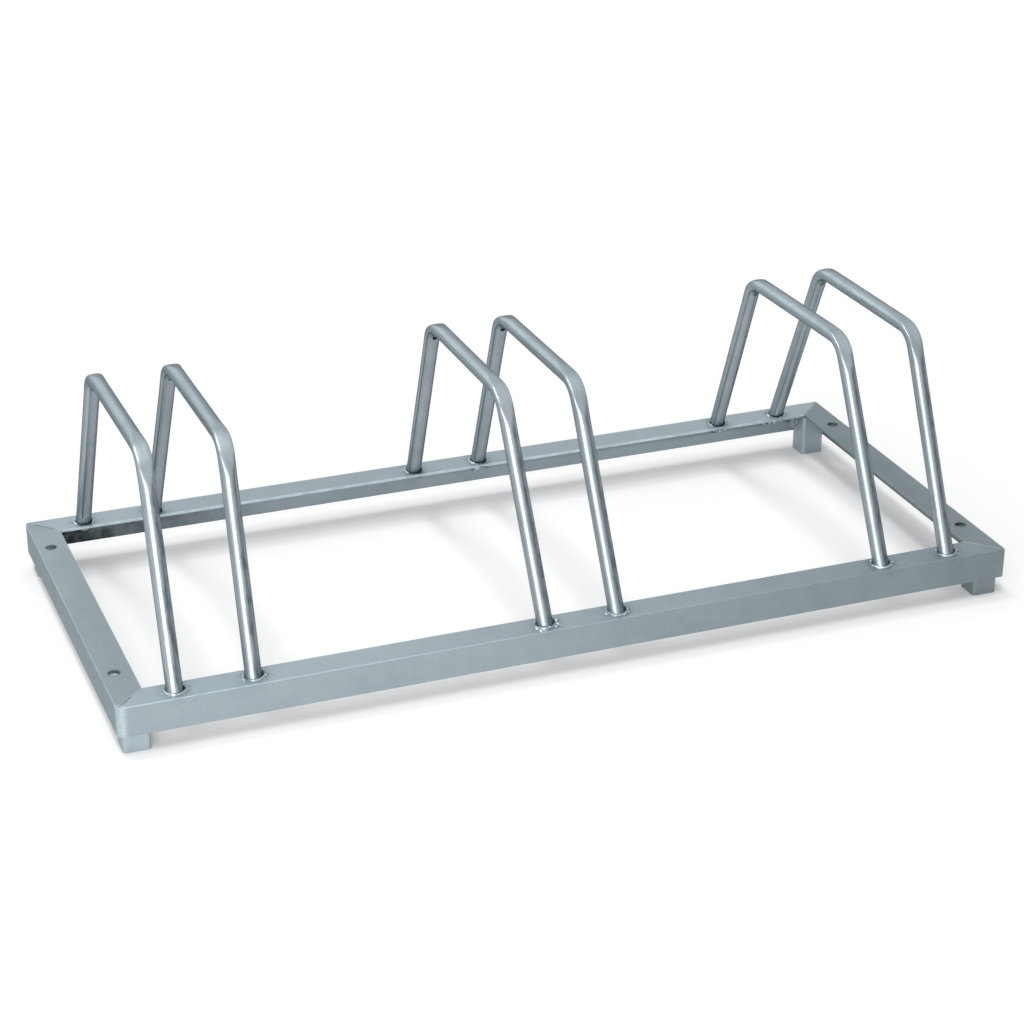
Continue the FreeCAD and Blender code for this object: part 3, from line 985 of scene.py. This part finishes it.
def makeFloor():
    bm = bmesh.new()
    bmesh.ops.create_grid(bm, x_segments=1, y_segments=1, size=studio["floorSize"] / 2)
    floor = newMesh("floor", bm)
    material = bpy.data.materials.new("white_floor")
    material.use_nodes = True
    tree = material.node_tree
    tree.nodes.clear()
    matte = tree.nodes.new("ShaderNodeBsdfDiffuse")
    bounce = tree.nodes.new("ShaderNodeBsdfDiffuse")
    matte.inputs["Color"].default_value = studio["floorColour"]
    bounce.inputs["Color"].default_value = studio["floorBounce"]
    glow = tree.nodes.new("ShaderNodeEmission")
    contact = tree.nodes.new("ShaderNodeAmbientOcclusion")
    contact.samples = studio["contactSamples"]
    contact.inputs["Distance"].default_value = studio["contactReach"]
    where = tree.nodes.new("ShaderNodeTexCoord")
    away = distanceFrom(tree, (where, "Object"), (0, 0, 0))
    outer = addRamp(tree, away[0], "Value", *studio["floorGlowRise"])
    outer = addMath(tree, "MULTIPLY", outer, studio["floorGlowFar"])
    openness = addMath(tree, "MULTIPLY", (contact, "AO"), studio["contactShare"])
    openness = addMath(tree, "ADD", openness, 1 - studio["contactShare"])
    strength = addMath(tree, "MULTIPLY", addMath(tree, "ADD", outer, studio["floorGlow"]), openness)
    link(tree, strength[0], "Value", glow, "Strength")
    path = tree.nodes.new("ShaderNodeLightPath")
    seen = addMath(tree, "MAXIMUM", (path, "Is Camera Ray"), (path, "Is Transmission Ray"))
    inGloss = addMath(tree, "MULTIPLY", (path, "Is Glossy Ray"), studio["glossGlow"])
    seen = addMath(tree, "MAXIMUM", seen, inGloss)
    both = tree.nodes.new("ShaderNodeAddShader")
    choose = tree.nodes.new("ShaderNodeMixShader")
    output = tree.nodes.new("ShaderNodeOutputMaterial")
    link(tree, matte, "BSDF", both, 0)
    link(tree, glow, "Emission", both, 1)
    link(tree, seen[0], "Value", choose, "Fac")
    link(tree, bounce, "BSDF", choose, 1)
    link(tree, both, "Shader", choose, 2)
    link(tree, choose, "Shader", output, "Surface")
    material.cycles.emission_sampling = "NONE"
    floor.data.materials.append(material)


# A grey card that only reflections see, as a photographer stands one beside bright metal.
def makeCard(name, card):
    facing = Vector(card["place"]) - Vector(studio["cardAim"])
    aim = facing.to_track_quat("Z", "Y").to_matrix().to_4x4()
    shape = Matrix.Diagonal((card["size"][0], card["size"][1], 1, 1))
    bm = bmesh.new()
    place = Matrix.Translation(card["place"]) @ aim @ shape
    bmesh.ops.create_grid(bm, x_segments=1, y_segments=1, size=0.5, matrix=place)
    board = newMesh(name, bm)
    material = bpy.data.materials.new(name)
    material.use_nodes = True
    tree = material.node_tree
    tree.nodes.clear()
    tone = tree.nodes.new("ShaderNodeEmission")
    tone.inputs["Strength"].default_value = card["grey"]
    output = tree.nodes.new("ShaderNodeOutputMaterial")
    link(tree, tone, "Emission", output, "Surface")
    material.cycles.emission_sampling = "NONE"
    board.data.materials.append(material)
    board.visible_camera = False
    board.visible_diffuse = False
    board.visible_shadow = False
    board.visible_transmission = False


def makeWorld():
    world = bpy.data.worlds.new("studio")
    bpy.context.scene.world = world
    world.use_nodes = True
    tree = world.node_tree
    sky = tree.nodes["Background"]
    sky.inputs["Color"].default_value = (1, 1, 1, 1)
    path = tree.nodes.new("ShaderNodeLightPath")
    seen = addMath(tree, "MAXIMUM", (path, "Is Camera Ray"), (path, "Is Glossy Ray"))
    seen = addMath(tree, "MAXIMUM", seen, (path, "Is Transmission Ray"))
    strength = addMath(tree, "MAXIMUM", studio["worldLight"], seen)
    link(tree, strength[0], "Value", sky, "Strength")
    world.cycles.sampling_method = "NONE"


def addSoftbox(name, place, aim, size, power):
    light = bpy.data.lights.new(name, "AREA")
    light.shape = "RECTANGLE"
    light.size = size[0]
    light.size_y = size[1]
    light.energy = power
    lamp = bpy.data.objects.new(name, light)
    lamp.location = place
    lamp.rotation_euler = (Vector(place) - Vector(aim)).to_track_quat("Z", "Y").to_euler()
    bpy.context.scene.collection.objects.link(lamp)


# Overhead light that is narrow along the rack and wide across it, from a row of suns.
def addStrip():
    for index, lean in enumerate(studio["sunLeans"]):
        light = bpy.data.lights.new("overhead_%d" % index, "SUN")
        light.energy = studio["sunStrength"] / len(studio["sunLeans"])
        light.angle = studio["sunWidth"]
        lamp = bpy.data.objects.new("overhead_%d" % index, light)
        lamp.rotation_euler = (lean, -studio["sunTilt"], 0)
        bpy.context.scene.collection.objects.link(lamp)


view = {
    "place": (-0.957404, -2.498071, 1.338381),
    "down": 25.05 * degree,
    "left": 21.02 * degree,
    "lens": 88.79,
    "sensor": 36,
}


def makeCamera():
    data = bpy.data.cameras.new("camera")
    data.lens = view["lens"]
    data.sensor_width = view["sensor"]
    camera = bpy.data.objects.new("camera", data)
    camera.location = view["place"]
    camera.rotation_euler = (math.pi / 2 - view["down"], 0, -view["left"])
    bpy.context.scene.collection.objects.link(camera)
    bpy.context.scene.camera = camera


makeFloor()
makeWorld()
for cardName, card in studio["cards"].items():
    makeCard(cardName, card)
addSoftbox("key", studio["keyPlace"], studio["keyAim"], studio["keySize"], studio["keyPower"])
addStrip()
addSoftbox("back", studio["backPlace"], studio["backAim"], studio["backSize"], studio["backPower"])
makeCamera()
bpy.context.scene.view_settings.view_transform = "Standard"
print("floor, light and camera")
